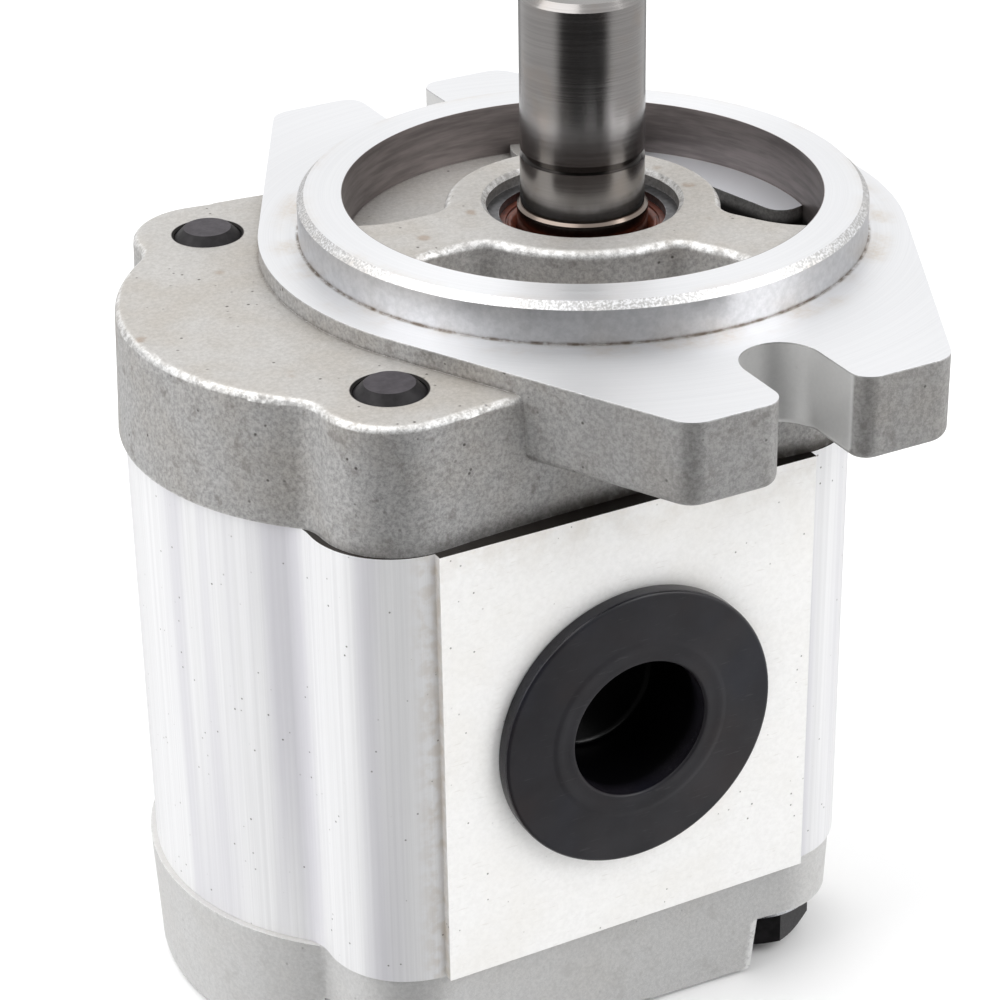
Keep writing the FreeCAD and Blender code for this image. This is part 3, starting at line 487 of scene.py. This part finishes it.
def front_cover_zones(graph):
    """Other finishes and painted shade of the front cover, each as its mask, colour and roughness."""
    x, y, _ = graph.parts()
    x_mm = graph.in_mm(x)
    side_y = graph.in_mm(graph.math("ABSOLUTE", y))
    radius = axis_distance(graph)
    height = level(graph)
    # Painted shade: the recess wall gets a dark colour, with streaks along it.
    shaded_recess_wall = graph.product(graph.ramp(radius, RECESS_RADIUS - 0.25, RECESS_RADIUS - 0.1),
                         graph.ramp(radius, RECESS_RADIUS + 0.12, RECESS_RADIUS + 0.02))
    streaks = graph.spread(graph.noise(1.0, 3.0, 0.6, graph.stretched(0.10, 0.10, 0.9)))
    shaded_wall_colour = graph.mix(streaks, (0.16, 0.14, 0.138), (0.26, 0.23, 0.225))
    within = graph.ramp(radius, RECESS_RADIUS - 0.1, RECESS_RADIUS - 0.2)
    ledge = graph.product(within, graph.ramp(x_mm, LEDGE_START_X - 0.1, LEDGE_START_X),
                          graph.ramp(height, -3.2, -2.6), graph.ramp(height, -1.2, -1.7),
                          graph.ramp(graph.upward(), 0.05, 0.3))
    # Painted shade: the deep well beside the ledge is painted near black.
    well_shade = graph.product(graph.ramp(radius, RECESS_RADIUS + 0.5, RECESS_RADIUS + 0.3),
                         graph.ramp(height, -2.9, -4.5))
    off_middle = graph.math("ABSOLUTE", x_mm)
    slot = graph.product(graph.ramp(off_middle, SLOT_HALF_WIDTH + 0.2, SLOT_HALF_WIDTH + 0.05),
                         graph.ramp(side_y, 46.5, 47.0), graph.ramp(height, -0.1, -0.3))
    # Painted shade: the gap round each bolt in its hole is painted near black.
    hole = 0.0
    for bolt_x, bolt_y in BOLT_PLACES[:2]:
        away_x = graph.math("SUBTRACT", x_mm, bolt_x)
        away_y = graph.math("SUBTRACT", graph.in_mm(y), bolt_y)
        away = graph.length(away_x, away_y)
        hole = graph.math("MAXIMUM", hole, graph.ramp(away, HOLE_RADIUS + 0.15, HOLE_RADIUS - 0.05))
    # Painted shadow: the lowest part of the cover's sides above the pad is darkened, most under the lugs.
    middle = graph.ramp(off_middle, 46.0, 18.0, 0.35, 1.0)
    joint_shadow = graph.product(graph.ramp(height, JOINT_LEVEL + 3.0, JOINT_LEVEL), graph.ramp(side_y, 34.0, 38.0),
                          graph.ramp(graph.noise(1.8, 4.0), 0.2, 0.6, 0.6, 1.0), middle)
    # Painted shade: the sides of the lugs are darkened.
    lug_side_shade = graph.product(graph.ramp(side_y, 44.0, 52.0), graph.ramp(height, -0.1, -0.3), 0.32)
    return [(lug_side_shade, (0.22, 0.215, 0.21), 0.58),
            (shaded_recess_wall, shaded_wall_colour, 0.45),
            (ledge, (0.66, 0.67, 0.70), 0.5),
            (well_shade, (0.035, 0.033, 0.032), 0.7),
            (graph.product(slot, 0.8), (0.74, 0.74, 0.735), 0.45),
            (hole, (0.02, 0.018, 0.017), 0.7),
            (graph.product(joint_shadow, 0.9), (0.045, 0.036, 0.028), 0.75)]


def rear_cover_machined(graph):
    """Mask of the turned rest face."""
    low = cad_low.z / MM
    return graph.ramp(level(graph), low + 0.16, low + 0.06)


def body_material():
    """Bright extruded body: streaks run along the shaft axis, port faces are milled."""
    graph = Graph("extruded_body")
    x, y, _ = graph.parts()
    x_mm = graph.in_mm(x)
    side_y = graph.in_mm(graph.math("ABSOLUTE", y))
    height_mm = level(graph)
    up = graph.upward()
    streaks = graph.noise(1.0, 4.0, 0.65, graph.stretched(1.6, 1.6, 0.012))
    bands = graph.noise(1.0, 2.0, 0.5, graph.stretched(0.10, 0.10, 0.004))
    colour = graph.mix(graph.spread(streaks), (0.74, 0.74, 0.75), (0.82, 0.82, 0.83))
    colour = graph.mix(graph.ramp(bands, 0.46, 0.64, 0.0, 0.6), colour, (0.56, 0.55, 0.60))
    face = graph.ramp(side_y, PORT_FACE - 0.15, PORT_FACE - 0.06)
    mill = graph.noise(0.7, 4.0, 0.7)
    scratch = graph.noise(1.0, 2.0, 0.6, graph.stretched(0.35, 1.0, 2.4))
    face_colour = graph.mix(graph.spread(mill), (0.88, 0.875, 0.865), (0.94, 0.935, 0.925))
    face_colour = graph.mix(graph.ramp(scratch, 0.62, 0.74, 0.0, 0.4), face_colour, (0.70, 0.68, 0.65))
    cloud = graph.ramp(graph.noise(14.0, 4.0), 0.4, 0.75)
    face_colour = graph.mix(graph.product(cloud, 0.3), face_colour, (0.82, 0.79, 0.73))
    tint = graph.product(graph.ramp(height_mm, -30.0, JOINT_LEVEL),
                         graph.ramp(graph.noise(4.0, 4.0), 0.35, 0.7))
    face_colour = graph.mix(graph.product(tint, 0.22), face_colour, (0.50, 0.42, 0.32))
    colour = graph.mix(face, colour, face_colour)
    step = graph.product(graph.ramp(side_y, 42.4, 42.6), graph.ramp(side_y, PORT_FACE - 0.1, PORT_FACE - 0.3),
                         graph.ramp(x_mm, PAD_EDGE_X + 0.3, PAD_EDGE_X + 0.1))
    colour = graph.mix(step, colour, graph.mix(graph.noise(0.5), (0.50, 0.48, 0.46), (0.82, 0.81, 0.80)))
    beside = graph.product(graph.ramp(graph.apart(x_mm, PAD_EDGE_X), 4.5, 0.6),
                           graph.ramp(side_y, 39.0, 41.5), graph.invert(face),
                           graph.ramp(graph.noise(2.0, 4.0), 0.38, 0.62))
    colour = graph.mix(graph.product(beside, 0.3), colour, (0.45, 0.36, 0.25))
    specks = graph.product(graph.ramp(graph.cells(1.8), 0.11, 0.05), graph.ramp(graph.noise(5.0), 0.48, 0.58))
    colour = graph.mix(graph.product(specks, 0.8), colour, (0.10, 0.09, 0.08))
    # Painted shade and grime: hollows are darkened to brown.
    crevice_shade = graph.product(graph.closeness(2.0, False),
                            graph.ramp(graph.noise(2.5, 4.0), 0.3, 0.6, 0.5, 1.1))
    colour = graph.mix(graph.ramp(crevice_shade, 0.3, 0.9, 0.0, 0.6), colour, (0.45, 0.38, 0.28))
    # Painted shadow: the top face of the port pad below the cover is painted near black.
    joint_shadow = graph.product(graph.ramp(height_mm, JOINT_LEVEL - 0.35, JOINT_LEVEL - 0.1),
                          graph.ramp(up, 0.2, 0.5))
    colour = graph.mix(joint_shadow, colour, (0.022, 0.018, 0.015))
    roughness = graph.blend(face, graph.spread(streaks, 0.44, 0.36),
                            graph.spread(mill, 0.52, 0.44))
    height = graph.blend(face, graph.product(streaks, STREAK_DEPTH * MM),
                         graph.product(mill, MILLED_DEPTH * MM))
    height = graph.math("SUBTRACT", height, graph.product(specks, SPECK_DEPTH * MM))
    height = graph.math("ADD", height, graph.product(port_thread(graph), MM))
    metallic = graph.blend(face, 0.36, 0.2)
    return graph.finish(colour, roughness, metallic, graph.relief(height))


def port_thread(graph):
    """Height of the pipe thread inside the port bores, in millimetres."""
    x, y, z = graph.parts()
    across = graph.math("SUBTRACT", x, MIDDLE_X * MM)
    rise = graph.math("SUBTRACT", z, PORT_LEVEL * MM)
    turn = graph.product(graph.math("ARCTAN2", rise, across), 1 / (2 * math.pi))
    steps = graph.math("ADD", graph.product(y, 1 / (PORT_THREAD_PITCH * MM)), turn)
    saw = graph.math("PINGPONG", steps, 0.5)
    radius = graph.in_mm(graph.length(across, rise))
    inside = graph.product(graph.ramp(radius, 15.35, 15.25), graph.ramp(radius, 11.9, 12.0))
    outer = graph.ramp(graph.in_mm(graph.math("ABSOLUTE", y)), PORT_FACE - 0.8, PORT_FACE - 1.2)
    return graph.product(saw, inside, outer)


def plastic_material():
    """Matte charcoal moulding with a fine spark-eroded grain and a few scuffs."""
    graph = Graph("charcoal_plastic")
    grain = graph.noise(0.18, 2.0, 0.6)
    clouds = graph.noise(9.0, 4.0, 0.6)
    hue = graph.noise(13.0, 2.0, 0.5)
    colour = graph.mix(graph.spread(clouds), (0.009, 0.008, 0.011), (0.014, 0.013, 0.017))
    colour = graph.mix(graph.ramp(hue, 0.5, 0.75, 0.0, 0.5), colour, (0.020, 0.012, 0.012))
    colour = graph.mix(graph.ramp(hue, 0.5, 0.3, 0.0, 0.5), colour, (0.008, 0.010, 0.020))
    scuffs = graph.ramp(graph.noise(1.0, 3.0, 0.7, graph.stretched(0.25, 1.0, 2.6)), 0.62, 0.72)
    colour = graph.mix(graph.product(scuffs, 0.35), colour, (0.055, 0.053, 0.056))
    edge = graph.ramp(graph.closeness(0.4, True), 0.25, 0.6, 0.0, 0.6)
    colour = graph.mix(edge, colour, (0.085, 0.082, 0.088))
    # Painted shade: the inside of the plug's hollow is painted near black.
    depth = graph.in_mm(graph.math("ABSOLUTE", graph.parts()[1]))
    colour = graph.mix(graph.ramp(depth, PORT_FACE + 1.4, PORT_FACE - 1.0), colour, (0.001, 0.001, 0.0015))
    face = graph.ramp(depth, PORT_FACE + 2.2, PORT_FACE + 2.35)
    roughness = graph.blend(face, 0.27, graph.spread(clouds, 0.52, 0.42))
    normal = graph.bump(grain, 0.02, 0.6)
    return graph.finish(colour, roughness, 0.0, normal, specular_ior_level=0.38)


def ground_steel_material(name, base, rings=6.0):
    """Ground steel: fine marks run round the axis."""
    graph = Graph(name)
    marks = graph.noise(1.0, 3.0, 0.6, graph.stretched(0.05, 0.05, rings))
    wide = graph.noise(1.0, 2.0, 0.5, graph.stretched(0.04, 0.04, 0.35))
    light = tuple(min(1.0, c * 1.18) for c in base)
    colour = graph.mix(graph.spread(marks), base, light)
    film = graph.product(graph.ramp(graph.noise(6.0, 4.0), 0.5, 0.75), 0.3)
    colour = graph.mix(film, colour, (0.26, 0.21, 0.17))
    low, high = SHAFT_GROOVE
    height = level(graph)
    # Painted shade: the groove is painted dark.
    groove = graph.product(graph.ramp(height, low - 0.15, low + 0.1),
                           graph.ramp(height, high + 0.15, high - 0.1))
    colour = graph.mix(graph.product(groove, 0.85), colour, (0.05, 0.045, 0.042))
    shoulder = graph.ramp(height, SHAFT_SHOULDER + 0.1, SHAFT_SHOULDER - 0.1)
    colour = graph.mix(graph.product(shoulder, 0.8), colour, (0.17, 0.13, 0.105))
    roughness = graph.math("ADD", graph.spread(marks, 0.15, 0.21),
                           graph.spread(wide, 0.0, 0.05))
    normal = graph.bump(marks, 0.004, 0.6)
    tangent = graph.node("ShaderNodeTangent", direction_type="RADIAL", axis="Z")
    graph.feed(graph.shader.inputs["Tangent"], tangent.outputs[0])
    return graph.finish(colour, roughness, 1.0, normal, anisotropic=0.4)


def metal_material(name, low, high, grain, rough, metallic=1.0, depth=0.01, wear=(0.5, 0.5, 0.5)):
    """Plain metal with a mottled grain and brighter edges."""
    graph = Graph(name)
    mottle = graph.noise(grain, 4.0, 0.6)
    colour = graph.mix(graph.spread(mottle), low, high)
    edge = graph.product(graph.closeness(0.35, True), graph.ramp(graph.noise(0.8), 0.35, 0.6))
    colour = graph.mix(graph.ramp(edge, 0.2, 0.5, 0.0, 0.8), colour, wear)
    fine = graph.noise(grain * 0.25, 2.0)
    roughness = graph.spread(fine, rough - 0.06, rough + 0.06)
    return graph.finish(colour, roughness, metallic, graph.bump(fine, depth, 0.6))


def bolt_material():
    """Black oxide: upward faces get a lighter copy of the colour than the bevel and the thread, as a painted
    highlight.
    """
    graph = Graph("black_oxide")
    mottle = graph.spread(graph.noise(1.2, 4.0, 0.6))
    shaded_oxide = graph.mix(mottle, (0.010, 0.009, 0.010), (0.020, 0.018, 0.020))
    light = graph.mix(mottle, (0.040, 0.035, 0.041), (0.062, 0.055, 0.063))
    # Painted highlight: faces that look up get the lighter copy of the oxide colour.
    colour = graph.mix(graph.ramp(graph.upward(), 0.9, 0.98), shaded_oxide, light)
    fine = graph.noise(0.3, 2.0)
    roughness = graph.spread(fine, 0.46, 0.56)
    return graph.finish(colour, roughness, 0.35, graph.bump(fine, 0.01, 0.6), specular_ior_level=0.3)


def rubber_material(name, low, high, rough=0.5, gloss=0.0):
    """Moulded rubber, slightly uneven, with an oily film where gloss is set."""
    graph = Graph(name)
    mottle = graph.noise(1.6, 4.0, 0.6)
    colour = graph.mix(graph.spread(mottle), low, high)
    # Painted shade: crevices are darkened.
    crevice_shade = graph.closeness(0.6, False)
    colour = graph.mix(graph.ramp(crevice_shade, 0.2, 0.8, 0.0, 0.7), colour, tuple(c * 0.25 for c in low))
    fine = graph.noise(0.2, 2.0)
    roughness = graph.spread(fine, rough - 0.08, rough + 0.08)
    return graph.finish(colour, roughness, 0.0, graph.bump(fine, 0.015, 0.5), coat_weight=gloss)


# ---------------------------------------------------------------------------------------------
# Pieces

def castings_and_body():
    """The three casings, with their edges rounded."""
    front = refined_copy("front_cover", "front_cover_casting", CAST_EDGE)
    material = cast_and_machined("cast_front_cover", front_cover_machined, front_cover_zones)
    dress(front, material, "casing", "cast_aluminium", "front_cover")
    rear = refined_copy("rear_cover", "rear_cover_casting", CAST_EDGE)
    material = cast_and_machined("cast_rear_cover", rear_cover_machined, lift=0.55)
    dress(rear, material, "casing", "cast_aluminium", "rear_cover")
    body = refined_copy("pump_body", "pump_body_extrusion", BODY_EDGE)
    dress(body, body_material(), "casing", "extruded_aluminium", "pump_body")


def plug_profile(flange, shank, depth, hole):
    """Closed profile of a transport plug, as (radius, height over the port face)."""
    floor = depth - 1.5
    groove = shank - 0.35
    points = [(0.0, -depth)]
    points += rounded_corner((shank - 1.0, -depth + 1.0), 1.0, -90, 0)
    ridge_count = 4
    pitch = (depth - 4.0) / ridge_count
    for k in range(ridge_count):
        low = -depth + 2.0 + k * pitch
        points += [(groove, low), (groove, low + pitch * 0.45)]
        points += [(shank - 0.04, low + pitch * 0.6), (shank, low + pitch * 0.8)]
        points += [(shank - 0.06, low + pitch * 0.95)]
    points += [(groove, -1.2), (groove, 0.0)]
    points += rounded_corner((flange - 0.3, 0.3), 0.3, -90, 0)
    points += rounded_corner((flange - 0.6, PLUG_FACE - 0.6), 0.6, 0, 90, 6)
    rib = hole + 2.8
    points += [(rib + 0.9, PLUG_FACE)]
    points += [(rib + 0.55, PLUG_FACE + 0.04), (rib + 0.2, PLUG_FACE + 0.12)]
    points += [(rib - 0.2, PLUG_FACE + 0.15), (rib - 0.8, PLUG_FACE + 0.11)]
    points += [(hole + 1.0, PLUG_FACE + 0.09)]
    points += rounded_corner((hole + 0.45, PLUG_FACE - 0.3), 0.45, 90, 180)
    bore = hole - 0.12
    points += [(hole, PLUG_FACE - 2.0), (bore, PLUG_FACE - 2.2), (bore, -floor + 1.0)]
    points += rounded_corner((hole - 1.12, -floor + 1.0), 1.0, 0, -90)
    points += [(0.0, -floor)]
    return points


def port_plugs():
    """Transport plugs of the two ports."""
    material = plastic_material()
    for name, side, body, (flange, shank, depth, hole) in (
            ("inlet_plug", -1, "inlet_cap", (21.35, 15.1, 14.0, 10.5)),
            ("outlet_plug", 1, "outlet_cap", (17.0, 12.0, 12.0, 8.0))):
        mesh = revolve(name + "_moulding", plug_profile(flange, shank, depth, hole), 128, along_port(side))
        piece = link(mesh, name + "_moulding")
        smooth_by_angle(mesh, 40)
        dress(piece, material, body, "black_plastic", name)


def bolt_rings(x, y):
    """Rings of a hexagon bolt: threaded upper end, plain shank and chamfered head below."""
    segments = 48
    end, seat, head = -1.7, -101.7, 6.4
    radius, pitch, thread_depth, thread_length = 5.0, 1.5, 0.55, 30.0
    flats = 8.0
    bevel = 1.5
    dish = 0.25
    head_bevel = 0.35
    washer_face = flats - 0.1
    turns = [2 * math.pi * k / segments for k in range(segments)]

    def ring(sizes, heights):
        return [Vector((x + r * math.cos(a), y + r * math.sin(a), h)) * MM
                for a, r, h in zip(turns, sizes, heights)]

    def circle(size, height):
        return ring([size] * segments, [height] * segments)

    def hexagon(angle):
        return flats / math.cos((angle + math.pi / 6) % (math.pi / 3) - math.pi / 6)

    corner = [hexagon(a) for a in turns]
    bottom = seat - head
    slope = math.tan(math.radians(30))
    rings = [[Vector((x, y, bottom + dish)) * MM],
             circle(4.6, bottom + dish),
             circle(5.0, bottom),
             circle(flats - head_bevel, bottom),
             ring(corner, [bottom + (c - flats + head_bevel) * slope for c in corner]),
             ring(corner, [seat - 0.5 - (c - flats) * 0.3 for c in corner]),
             circle(washer_face, seat - 0.4),
             circle(washer_face, seat),
             circle(radius + 0.2, seat),
             circle(radius, seat + 0.4)]
    thread_start = end - thread_length
    rings.append(circle(radius, thread_start - pitch))
    steps = int(thread_length / (pitch / 6))
    for k in range(steps + 1):
        height = thread_start + (thread_length - bevel - 0.1) * k / steps
        fade = min(1.0, k / 12)
        sizes = []
        for a in turns:
            phase = (height / pitch - a / (2 * math.pi)) % 1.0
            sizes.append(radius - thread_depth * fade * abs(2 * phase - 1))
        rings.append(ring(sizes, [height] * segments))
    rings.append(circle(radius - 0.03, end - bevel))
    rings.append(circle(radius - bevel, end))
    rings.append(circle(radius - 2.6, end))
    rings.append([Vector((x, y, end)) * MM])
    return rings


def bolts():
    """Through bolts with rolled threads."""
    material = bolt_material()
    for number, (x, y) in enumerate(BOLT_PLACES, 1):
        name = "through_bolt_%d" % number
        mesh = rings_mesh(name, bolt_rings(x, y))
        piece = link(mesh, name)
        smooth_by_angle(mesh, 35)
        dress(piece, material, "casing", "black_steel", "through_bolts")


def seal_pieces():
    """Shaft seal seen from outside: moulded case with ridges, and dust lip."""
    material = rubber_material("seal_rubber_orange", (0.10, 0.018, 0.007), (0.22, 0.048, 0.018), 0.42, 0.12)
    case = [(14.0, -6.2), (14.0, 0.2)] + rounded_corner((13.7, 0.3), 0.3, 0, 90)
    case += [(12.9, 0.6), (12.75, 0.42), (12.5, 0.42), (12.35, 0.6)]
    case += [(11.6, 0.6), (11.6, -0.4), (13.0, -0.4), (13.0, -6.2)]
    lip = [(11.6, 0.6), (11.2, 0.6), (11.1, 0.35), (10.9, 0.3), (10.75, 0.52), (10.45, 0.5), (10.2, 0.2),
           (9.62, -0.35), (9.58, -0.5), (10.55, -1.4), (9.6, -5.3), (9.6, -5.5), (10.1, -6.4), (11.6, -6.4),
           (11.6, -5.86), (10.9, -4.6), (11.6, -2.4)]
    for name, profile, node in (("seal_case_moulding", case, "shaft_seal_case"),
                                ("seal_lip_moulding", lip, "shaft_seal_lip")):
        mesh = revolve(name, profile, 128, upright(), closed_profile=True)
        piece = link(mesh, name)
        smooth_by_angle(mesh, 50)
        dress(piece, material, "casing", "seal_rubber", node)


def turned_and_small_pieces():
    """Materials of the pieces whose CAD shape is shown as it is."""
    steel = ground_steel_material("ground_steel_shaft", (0.235, 0.225, 0.22))
    key = metal_material("bright_key_steel", (0.42, 0.42, 0.43), (0.56, 0.56, 0.57), 0.9, 0.32)
    washer = metal_material("zinc_plate", (0.52, 0.53, 0.55), (0.68, 0.69, 0.72), 1.5, 0.3)
    spring = metal_material("dark_spring_steel", (0.09, 0.09, 0.095), (0.16, 0.16, 0.165), 0.8, 0.34,
                            wear=(0.35, 0.35, 0.36))
    block = metal_material("die_cast_block", (0.45, 0.45, 0.46), (0.60, 0.60, 0.61), 0.8, 0.4)
    bronze = metal_material("sintered_bronze", (0.48, 0.29, 0.14), (0.63, 0.40, 0.21), 0.5, 0.36)
    black = rubber_material("nitrile_rubber", (0.016, 0.016, 0.017), (0.030, 0.030, 0.031), 0.5)
    white = rubber_material("backup_ring_nylon", (0.70, 0.68, 0.62), (0.80, 0.79, 0.74), 0.45)
    by_slot = {"ground_steel": steel, "key_steel": key, "plated_steel": washer, "spring_steel": spring,
               "bearing_aluminium": block, "bearing_bronze": bronze, "black_rubber": black,
               "white_plastic": white}
    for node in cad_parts.values():
        slot_name = node.data.materials[0].name if node.data.materials else ""
        if slot_name in by_slot:
            node.material_slots[0].link = "OBJECT"
            node.material_slots[0].material = by_slot[slot_name]
    ring = refined_copy("seal_retaining_ring", "retaining_ring", RING_EDGE)
    dress(ring, spring, "casing", "spring_steel", "seal_retaining_ring")


# ---------------------------------------------------------------------------------------------
# Studio

def camera():
    """Camera at the viewing angle of a product shot."""
    a, e, r = CAMERA_AZIMUTH, CAMERA_ELEVATION, CAMERA_ROLL
    back = Vector((math.sin(a) * math.cos(e), -math.cos(a) * math.cos(e), math.sin(e)))
    right = Vector((math.cos(a), math.sin(a), 0))
    up = back.cross(right)
    rolled_right = right * math.cos(r) + up * math.sin(r)
    rolled_up = up * math.cos(r) - right * math.sin(r)
    data = bpy.data.cameras.new("camera")
    data.lens = CAMERA_LENS
    data.sensor_width = CAMERA_SENSOR
    data.clip_start = 0.01
    data.clip_end = 50.0
    viewer = bpy.data.objects.new("camera", data)
    bpy.context.scene.collection.objects.link(viewer)
    turn = Matrix((rolled_right, rolled_up, back)).transposed()
    viewer.matrix_world = Matrix.Translation(CAMERA_TARGET + back * CAMERA_DISTANCE) @ turn.to_4x4()
    bpy.context.scene.camera = viewer


def area_light(name, place, target, size, power, tint=(1.0, 1.0, 1.0)):
    """Square soft box aimed at a point."""
    data = bpy.data.lights.new(name, "AREA")
    data.shape = "SQUARE"
    data.size = size
    data.energy = power
    data.color = tint
    lamp = bpy.data.objects.new(name, data)
    bpy.context.scene.collection.objects.link(lamp)
    lamp.location = place
    lamp.rotation_mode = "QUATERNION"
    lamp.rotation_quaternion = (Vector(place) - Vector(target)).to_track_quat("Z", "Y")


class Sky(Nodes):
    """Brightness of the tent as seen in each direction, from a few soft openings."""

    def __init__(self, tree):
        super().__init__(tree)
        direction = tree.nodes.new("ShaderNodeTexCoord").outputs["Generated"]
        self.rise = self.split(direction)[2]
        flat = self.vector("MULTIPLY", direction, (1, 1, 0))
        self.heading = self.vector("NORMALIZE", flat)

    def vector(self, operation, first, second=None):
        """One step of vector arithmetic."""
        made = self.node("ShaderNodeVectorMath", operation=operation)
        self.feed(made.inputs[0], first)
        if second is not None:
            self.feed(made.inputs[1], second)
        return made.outputs["Value" if operation == "DOT_PRODUCT" else "Vector"]

    def opening(self, azimuth, half_width, softness, top, depth):
        """Share of light left beside an opening of the tent that reaches up to an elevation."""
        aim = (math.sin(math.radians(azimuth)), -math.cos(math.radians(azimuth)), 0)
        dot = self.vector("DOT_PRODUCT", self.heading, aim)
        outer, inner = (math.cos(math.radians(angle)) for angle in (half_width + softness, half_width))
        across = self.ramp(dot, outer, inner)
        below = self.ramp(self.rise, math.sin(math.radians(top + 15)), math.sin(math.radians(top)))
        return self.math("MULTIPLY_ADD", self.product(across, below), -depth, 1.0)


def surroundings():
    """White tent round the object, open and darker on the viewer's side."""
    world = bpy.data.worlds.new("tent")
    bpy.context.scene.world = world
    world.use_nodes = True
    background = world.node_tree.nodes["Background"]
    sky = Sky(world.node_tree)
    light = sky.opening(-27.8, 36, 20, 38, 0.93)
    light = sky.product(light, sky.opening(152, 24, 12, -12, 0.55))
    light = sky.product(light, sky.ramp(sky.rise, -0.4, 0.9, 0.92, 1.12))
    background.inputs["Color"].default_value = (1.0, 1.0, 1.0, 1.0)
    world.node_tree.links.new(light, background.inputs["Strength"])


def floor():
    """Pale floor just under the rear cover."""
    mesh = bpy.data.meshes.new("floor")
    half = 3.0
    level_z = cad_low.z - 0.0002
    corners = [(-half, -half, level_z), (half, -half, level_z), (half, half, level_z), (-half, half, level_z)]
    mesh.from_pydata(corners, [], [(0, 1, 2, 3)])
    piece = link(mesh, "floor")
    graph = Graph("pale_floor")
    speckle = graph.noise(40.0, 3.0)
    colour = graph.mix(speckle, (0.90, 0.90, 0.90), (0.94, 0.94, 0.94))
    mesh.materials.append(graph.finish(colour, 0.8, 0.0))
    piece.visible_glossy = False


def studio():
    """Camera, light and floor."""
    camera()
    surroundings()
    floor()
    area_light("top_light", (-0.55, 0.15, 1.0), (0, 0, -0.04), 0.9, 5.5)
    area_light("right_light", (0.75, -0.80, 0.75), (0, 0, -0.06), 0.8, 7.5)
    area_light("left_light", (-1.05, 0.10, 0.45), (0, 0, -0.04), 0.7, 2.8)
    bpy.context.scene.view_settings.view_transform = "Standard"


studio()
castings_and_body()
port_plugs()
bolts()
seal_pieces()
turned_and_small_pieces()
